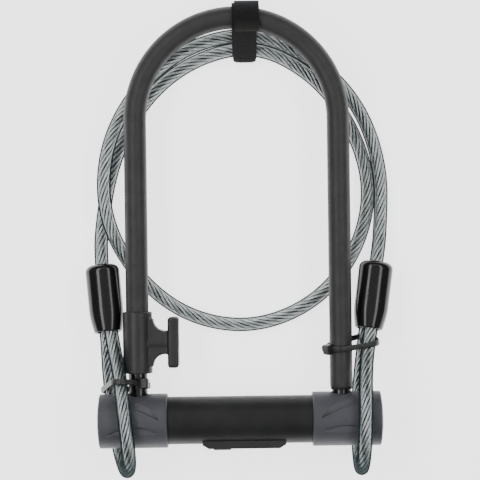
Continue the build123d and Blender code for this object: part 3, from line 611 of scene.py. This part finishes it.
# %% Strap spiral
STRAP_X = 6.6 * MM
STRAP_WALL = 1.25 * MM
STRAP_GAP = 0.9 * MM  # between the strap's inside and what it holds
STRAP_SLACK = 2 * MM  # loose space under the nearest strand
LOWEST_STRAND = 8 * MM  # height of a strand's middle where the strap passes under it
LAP_END = BEND_Y + LEG_X - 9.6 * MM
reach_at = lambda x: BEND_Y + math.sqrt(LEG_X**2 - x**2)
strands_at_strap = crossings(cable_line, np.array([STRAP_X, 0, 0]), np.array([1.0, 0, 0]))
strands_at_strap = strands_at_strap[strands_at_strap[:, 1] > BEND_Y]
lowest = strands_at_strap[:, 1].min()
strap_circles = [(reach_at(x), BAR_Z, 7.2 * MM) for x in (-1.4 * MM, 14.6 * MM)]
strap_circles += [
    (y, max(z, LOWEST_STRAND), CABLE_RADIUS) if y > lowest else (y - STRAP_SLACK, LOWEST_STRAND, CABLE_RADIUS)
    for _, y, z in strands_at_strap
]
print("strands under the strap", np.round(strands_at_strap / MM, 1).tolist())


def strap_path(laps=1.45, steps=2880):
    """Spiral round the circles: the gap is one wall less at the start, which lies inside, and
    the band is lifted by a wall where it passes over its own start."""
    count = int(steps * laps)
    inner = round_them(strap_circles, STRAP_GAP + STRAP_WALL / 2, steps)
    outer = round_them(strap_circles, STRAP_GAP + STRAP_WALL * 1.55, steps)
    turn = np.arange(count)
    lift = np.clip((turn - 0.72 * steps) / (0.28 * steps), 0, 1)
    lift = (lift * lift * (3 - 2 * lift))[:, None]
    k = (int(0.95 * steps) + turn) % steps
    return inner[k] * (1 - lift) + outer[k] * lift


# %% Strap surface
def strap_rings():
    """Rings of 16 by 1.25 mm along the spiral, thinner at both ends, with a soft edge that
    wanders by a tenth of a millimetre, as cut webbing does. Where the band turns under the
    cable, it is narrower and its edges curl in."""
    path = strap_path()
    steps = np.linalg.norm(np.diff(path, axis=0), axis=1)
    reached = np.concatenate([[0.0], np.cumsum(steps)])
    wanted = np.linspace(0, reached[-1], int(reached[-1] / (0.5 * MM)))
    path = np.stack([np.interp(wanted, reached, path[:, k]) for k in range(2)], axis=1)
    past_end = (wanted > wanted[-1] / 2) & (path[:, 1] > BAR_Z) & (path[:, 0] < LAP_END)
    path, wanted = path[: past_end.argmax()], wanted[: past_end.argmax()]
    ahead = unit(np.gradient(path, axis=0))
    out = np.stack([ahead[:, 1], -ahead[:, 0]], axis=1)
    end = np.minimum(wanted, wanted[::-1])
    curl = np.exp(-(((path[:, 0] - path[:, 0].min()) / (3 * MM)) ** 2))[:, None]
    wall = STRAP_WALL * (0.35 + 0.65 * np.clip(end / (1.5 * MM), 0, 1) ** 0.5)
    shift = 0.9 * MM * np.tanh((wanted / wanted[-1] - 0.62) * 6)
    rng = np.random.default_rng(5)
    knots = np.arange(0, 0.4, 1.2 * MM)
    wander = np.interp(wanted, knots, rng.normal(0, 0.09 * MM, len(knots)))
    ring = superellipse(28, 7)
    sink = 0.85 * MM * curl * ring[None, :, 1] ** 4
    local = path[:, None] + out[:, None] * (ring[None, :, 0] * wall[:, None] / 2 - sink)[..., None]
    half = 7.9 * MM * (1 - 0.08 * curl) + wander[:, None]
    x = STRAP_X + shift[:, None] + ring[None, :, 1] * half
    return np.concatenate([x[..., None], local], axis=-1)


strap = skin("hook_and_loop_strap", strap_rings())
print("strap ends at", np.round(np.array(strap.data.vertices[-1].co) / MM, 1).tolist())


# %% Loop fuzz on the strap
def fuzz(name, base, count, length, seed):
    """Short bent fibres standing on a mesh: each is a strip of five points, from a random face
    along its normal, with random lean, all worked out at once. They are thicker and longer
    at the mesh's near edge, where the cloth is worn."""
    rng = np.random.default_rng(seed)
    mesh = base.data
    centre, normal = np.zeros(len(mesh.polygons) * 3), np.zeros(len(mesh.polygons) * 3)
    mesh.polygons.foreach_get("center", centre)
    mesh.polygons.foreach_get("normal", normal)
    centre, normal = centre.reshape(-1, 3), normal.reshape(-1, 3)
    area = np.zeros(len(mesh.polygons))
    mesh.polygons.foreach_get("area", area)
    worn = np.exp(-(((centre[:, 1] - centre[:, 1].min()) / (2.5 * MM)) ** 2))
    share = area * (1 + 6 * worn)
    pick = rng.choice(len(area), count, p=share / share.sum())
    root = centre[pick] + rng.normal(0, 0.25 * MM, (count, 3)) * (1 - np.abs(normal[pick]))
    lean = unit(normal[pick] + rng.normal(0, 0.55, (count, 3)))
    side = unit(np.cross(lean, rng.normal(0, 1, (count, 3)))) * 0.045 * MM
    tall = length * rng.uniform(0.4, 1.0, (count, 1)) * (1 + worn[pick, None])
    bend = unit(np.cross(lean, side)) * tall * 0.35
    mid = root + lean * tall * 0.55 + bend
    tip = root + lean * tall * 0.75 + 2 * bend
    points = np.stack([root - side, root + side, mid + side, mid - side, tip], axis=1).reshape(-1, 3)
    first = np.arange(count)[:, None] * 5
    quads, tips = (first + [0, 1, 2, 3]).tolist(), (first + [3, 2, 4]).tolist()
    made = bpy.data.meshes.new(name)
    made.from_pydata(points.tolist(), [], quads + tips)
    piece = bpy.data.objects.new(name, made)
    bpy.context.scene.collection.objects.link(piece)
    print(name, count, "fibres")
    return piece


strap_fuzz = fuzz("strap_fuzz", strap, 5200, 0.6 * MM, 11)
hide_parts("strap")
for piece in (strap, strap_fuzz):
    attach(piece, "shackle")

# %% [markdown]
# ## Moulded bracket
#
# The bracket is one moulding with soft edges everywhere, also where its neck runs into the
# sleeve and the flange. Rounding all of those one by one is slow. Here a copy of its solid
# is built again from small voxels and then smoothed, which melts every edge by about the
# radius that a mould has.

# %% Melt the edges
def melted(name, node, voxel, passes):
    """A copy of a CAD node with its triangles merged, remeshed at voxel and smoothed."""
    piece = bpy.data.objects.new(name, frame["nodes"][node].data.copy())
    bpy.context.scene.collection.objects.link(piece)
    weld = piece.modifiers.new("weld", "WELD")
    weld.merge_threshold = 1e-6
    remesh = piece.modifiers.new("remesh", "REMESH")
    remesh.mode, remesh.voxel_size = "VOXEL", voxel
    smooth = piece.modifiers.new("smooth", "SMOOTH")
    smooth.factor, smooth.iterations = 0.5, passes
    made = bpy.data.meshes.new_from_object(piece.evaluated_get(bpy.context.evaluated_depsgraph_get()))
    piece.modifiers.clear()
    piece.data = made
    made.polygons.foreach_set("use_smooth", np.ones(len(made.polygons), bool))
    print(name, len(made.polygons), "faces")
    return piece


bracket = melted("moulded_bracket", "bracket_body", 0.42 * MM, 7)
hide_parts("bracket_body")
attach(bracket, "shackle")

# %% [markdown]
# ## Finishes
#
# Every finish is built from the same few nodes: noise on Object coordinates for grain and
# wear, a colour ramp for tone, and a bump. Object coordinates are in metres here, so a
# noise scale of 1000 makes features about a millimetre across.

# %% Node helpers
def finish(name, **plain):
    """New material with a Principled shader and its plain numbers and colours set."""
    material = bpy.data.materials.new(name)
    material.use_nodes = True
    shader = material.node_tree.nodes["Principled BSDF"]
    for socket, value in plain.items():
        shader.inputs[socket.replace("_", " ").title().replace("Ior", "IOR")].default_value = value
    return material


def add(material, kind, inputs=None, **settings):
    """Adds a node. Inputs are numbers, colours, or other nodes' outputs."""
    made = material.node_tree.nodes.new("ShaderNode" + kind)
    for key, value in settings.items():
        setattr(made, key, value)
    for socket, value in (inputs or {}).items():
        if isinstance(value, bpy.types.NodeSocket):
            material.node_tree.links.new(value, made.inputs[socket])
        else:
            made.inputs[socket].default_value = value
    return made


def noise(material, scale, detail=3.0, rough=0.5, where=None):
    """Noise between 0 and 1 on Object coordinates, or on where."""
    where = where or add(material, "TexCoord").outputs["Object"]
    inputs = {"Vector": where, "Scale": scale, "Detail": detail, "Roughness": rough}
    return add(material, "TexNoise", inputs).outputs["Fac"]


def ramp(material, value, *stops):
    """Colour or grey for a value: stops are (position, colour or grey)."""
    made = add(material, "ValToRGB", {"Fac": value})
    for k, (place, tone) in enumerate(stops):
        stop = made.color_ramp.elements[k] if k < 2 else made.color_ramp.elements.new(place)
        stop.position = place
        stop.color = (*tone, 1) if isinstance(tone, tuple) else (tone, tone, tone, 1)
    return made.outputs["Color"]


def maths(material, operation, a, b=0.5, c=0.0):
    """One sum on values."""
    return add(material, "Math", {0: a, 1: b, 2: c}, operation=operation).outputs["Value"]


def dress(material, colour=None, rough=None, height=None, depth=0.00005, strength=0.5, metal=None):
    """Links colour, roughness and bump to the shader."""
    tree = material.node_tree
    shader = tree.nodes["Principled BSDF"]
    if colour is not None:
        tree.links.new(colour, shader.inputs["Base Color"])
    if rough is not None:
        tree.links.new(rough, shader.inputs["Roughness"])
    if height is not None:
        bump = add(material, "Bump", {"Height": height, "Strength": strength, "Distance": depth})
        tree.links.new(bump.outputs["Normal"], shader.inputs["Normal"])
    return material


def shades(colour, *levels):
    """The same colour, lighter or darker."""
    return [tuple(level * part for part in colour) for level in levels]


# %% Plastics and vinyl
def grained(name, colour, rough, grain, depth, strength=0.4, vary=0.12, **plain):
    """Moulded plastic: broad tone changes, patchy gloss, and a fine spark-eroded grain."""
    material = finish(name, **plain)
    dark, light = shades(colour, 1 - vary, 1 + vary)
    tone = ramp(material, noise(material, 90, 4), (0.35, dark), (0.65, light))
    gloss = ramp(material, noise(material, 260, 5, 0.65), (0.3, rough - 0.06), (0.7, rough + 0.07))
    fine, coarse = noise(material, grain, 2), noise(material, grain / 7, 3)
    height = maths(material, "ADD", fine, maths(material, "MULTIPLY", coarse, 0.6))
    return dress(material, tone, gloss, height, depth, strength)


vinyl = grained("charcoal_vinyl", (0.029, 0.029, 0.028), 0.47, 2600, 0.00006, 0.35, specular_ior_level=0.3)
satin = grained("satin_black", (0.016, 0.016, 0.0165), 0.45, 3400, 0.00003, 0.3, specular_ior_level=0.2)
cap_grey = grained(
    "bluish_grey_plastic", (0.068, 0.069, 0.079), 0.46, 3000, 0.00004, 0.3,
    vary=0.06, specular_ior_level=0.25,
)
bracket_black = grained(
    "bracket_nylon", (0.024, 0.024, 0.023), 0.42, 2400, 0.00006, 0.4,
    specular_ior_level=0.33,
)
boss_black = grained("keyway_plastic", (0.014, 0.014, 0.015), 0.33, 3000, 0.00003, 0.25)
tie_black = grained("tie_nylon", (0.012, 0.012, 0.012), 0.34, 1800, 0.00003, 0.25)
tab_grey = grained("tab_plastic", (0.16, 0.16, 0.165), 0.4, 2600, 0.00003, 0.3)
rubber = grained("liner_rubber", (0.016, 0.016, 0.016), 0.8, 2200, 0.00006, 0.5)
boot_pvc = grained(
    "glossy_pvc", (0.006, 0.006, 0.0065), 0.14, 420, 0.00002, 0.12,
    specular_ior_level=0.4,
)


# %% Metals
def metal(name, colour, rough, stretch, scale, **plain):
    """Metal with fine machining lines: noise squeezed hard along one direction."""
    material = finish(name, metallic=1.0, **plain)
    plain_place = add(material, "TexCoord").outputs["Object"]
    where = add(material, "Mapping", {"Vector": plain_place, "Scale": stretch}).outputs["Vector"]
    lines = noise(material, scale, 4, 0.6, where)
    dark, light = shades(colour, 0.8, 1.12)
    tone = ramp(material, noise(material, 150, 5), (0.3, dark), (0.7, light))
    gloss = ramp(material, lines, (0.3, rough - 0.08), (0.7, rough + 0.1))
    return dress(material, tone, gloss, lines, 0.00002, 0.25)


bar_steel = metal("dark_steel", (0.05, 0.05, 0.052), 0.22, (1, 0.08, 1), 2500)
tube_steel = metal("tube_steel", (0.45, 0.45, 0.46), 0.35, (0.08, 1, 1), 2500)
plated = metal("zinc_plate", (0.62, 0.62, 0.64), 0.3, (1, 1, 1), 1800)
die_cast = metal("die_cast_zinc", (0.5, 0.5, 0.5), 0.48, (1, 1, 1), 900)
brass = metal("turned_brass", (0.72, 0.55, 0.26), 0.3, (1, 0.1, 1), 2600)
crimp = metal("crimped_aluminium", (0.72, 0.72, 0.73), 0.38, (1, 0.2, 1), 1500)


# %% Hook-and-loop cloth
def webbing_finish():
    """Black loop cloth: a fine weave of crossed waves, broken up by noise into tufts. Towards
    the lapped end the pile gives way to plain webbing, which is a shade lighter."""
    material = finish(
        "loop_cloth", roughness=0.95, sheen_weight=0.06, sheen_roughness=0.6, specular_ior_level=0.15,
    )
    where = add(material, "TexCoord").outputs["Object"]
    threads = {"Vector": where, "Scale": 420, "Distortion": 1.6, "Detail": 2}
    warp = add(material, "TexWave", threads, bands_direction="X").outputs["Fac"]
    weft = add(material, "TexWave", threads, bands_direction="Y").outputs["Fac"]
    tufts = noise(material, 1500, 4, 0.7)
    height = maths(material, "ADD", maths(material, "MULTIPLY", warp, weft), tufts)
    pile = ramp(material, tufts, (0.3, (0.004, 0.004, 0.0045)), (0.75, (0.018, 0.018, 0.0195)))
    plain = ramp(material, tufts, (0.3, (0.018, 0.018, 0.016)), (0.75, (0.034, 0.034, 0.031)))
    along = add(material, "SeparateXYZ", {"Vector": add(material, "TexCoord").outputs["UV"]}).outputs["Y"]
    lapped = ramp(material, maths(material, "MULTIPLY", along, 5.0), (0.62, 0.0), (0.66, 1.0))
    tone = add(material, "MixRGB", {"Fac": lapped, "Color1": pile, "Color2": plain}).outputs["Color"]
    return dress(material, tone, None, height, 0.00018, 0.8)


cloth = webbing_finish()


# %% Rope wires under the jacket
def wire_finish():
    """Galvanised wires with painted light: the strand's crest, where its UV map starts, is a painted
    highlight, and its flanks fall off to painted shade. Fine wires slant along it, each with a painted
    highlight and painted shade in the grooves between them, and the zinc is dull in places."""
    material = finish("galvanised_wires", metallic=1.0, roughness=0.3)
    parts = add(material, "SeparateXYZ", {"Vector": add(material, "TexCoord").outputs["UV"]})
    around = parts.outputs["X"]
    # painted highlight on each strand's crest, falling off to painted shade on its flanks and in the gaps
    # between strands
    crest = maths(material, "COSINE", maths(material, "MULTIPLY", around, 2 * math.pi))
    wound = maths(material, "MULTIPLY", around, 6.0)
    slant = maths(material, "MULTIPLY_ADD", parts.outputs["Y"], 1 / 0.011, wound)
    wave = maths(material, "ABSOLUTE", maths(material, "SINE", maths(material, "MULTIPLY", slant, math.pi)))
    dull = noise(material, 900, 4, 0.65)
    # worn holds no wear: it is dull zinc in random patches plus the crest's painted highlight and painted
    # shade; the wave below adds a painted highlight on each fine wire and painted shade in the grooves
    # between them
    worn = maths(material, "MULTIPLY_ADD", dull, 0.5, maths(material, "SUBTRACT", crest, 0.55))
    lit = maths(material, "MULTIPLY_ADD", wave, 0.42, worn)
    tone = ramp(
        material, lit, (0.0, (0.012, 0.018, 0.02)), (0.22, (0.05, 0.065, 0.07)),
        (0.5, (0.42, 0.48, 0.48)), (0.8, (0.93, 0.97, 0.97)),
    )
    gloss = ramp(material, dull, (0.3, 0.22), (0.7, 0.42))
    return dress(material, tone, gloss, wave, 0.00018, 0.7)


# %% Clear jacket
def jacket_finish():
    """Smoky clear PVC: mostly the wires inside are seen, but where the surface turns away
    the way through the tinted wall is longer, and it covers nearly all."""
    material = finish("smoky_pvc", roughness=0.12, specular_ior_level=0.0)
    turned = add(material, "LayerWeight", {"Blend": 0.5}).outputs["Facing"]
    cover = ramp(material, turned, (0.25, 0.3), (0.48, 0.9))
    material.node_tree.links.new(cover, material.node_tree.nodes["Principled BSDF"].inputs["Alpha"])
    tone = ramp(material, noise(material, 60, 3), (0.3, (0.015, 0.028, 0.029)), (0.7, (0.026, 0.043, 0.044)))
    return dress(material, tone, None, noise(material, 300, 2), 0.00002, 0.15)


galvanised, smoky = wire_finish(), jacket_finish()
smoky.surface_render_method = "BLENDED"

# %% Dress every piece
def give(piece, material):
    """Makes a material the only one on a piece."""
    piece.data.materials.clear()
    piece.data.materials.append(material)


for piece, material in (
    (jacket, smoky), (rope, galvanised), (coating, vinyl), (bracket, bracket_black),
    (strap, cloth), (strap_fuzz, cloth),
    *((boot_piece, boot_pvc) for boot_piece in boots.values()),
    *((cap, cap_grey) for cap in end_caps.values()),
    *((tie, tie_black) for tie in ties.values()),
):
    give(piece, material)

slot_finish = {
    "steel_dark": bar_steel, "black_coating": vinyl, "bracket_plastic": bracket_black, "black_rubber": rubber,
    "fastener_steel": plated, "black_webbing": cloth, "cable": galvanised, "tube_steel": tube_steel,
    "black_cover": satin, "grey_plastic": cap_grey, "zinc": die_cast, "brass": brass,
    "black_plastic": boss_black, "black_pvc": boot_pvc, "aluminium": crimp, "black_nylon": tie_black,
    "grey_tab": tab_grey,
}
for part in frame["record"]["subparts"]:
    node = frame["nodes"][part["node"]]
    for k in range(max(1, len(node.material_slots))):
        if not node.material_slots:
            node.data.materials.append(None)
        node.material_slots[k].link = "OBJECT"
        node.material_slots[k].material = slot_finish[part["material_slot"]]
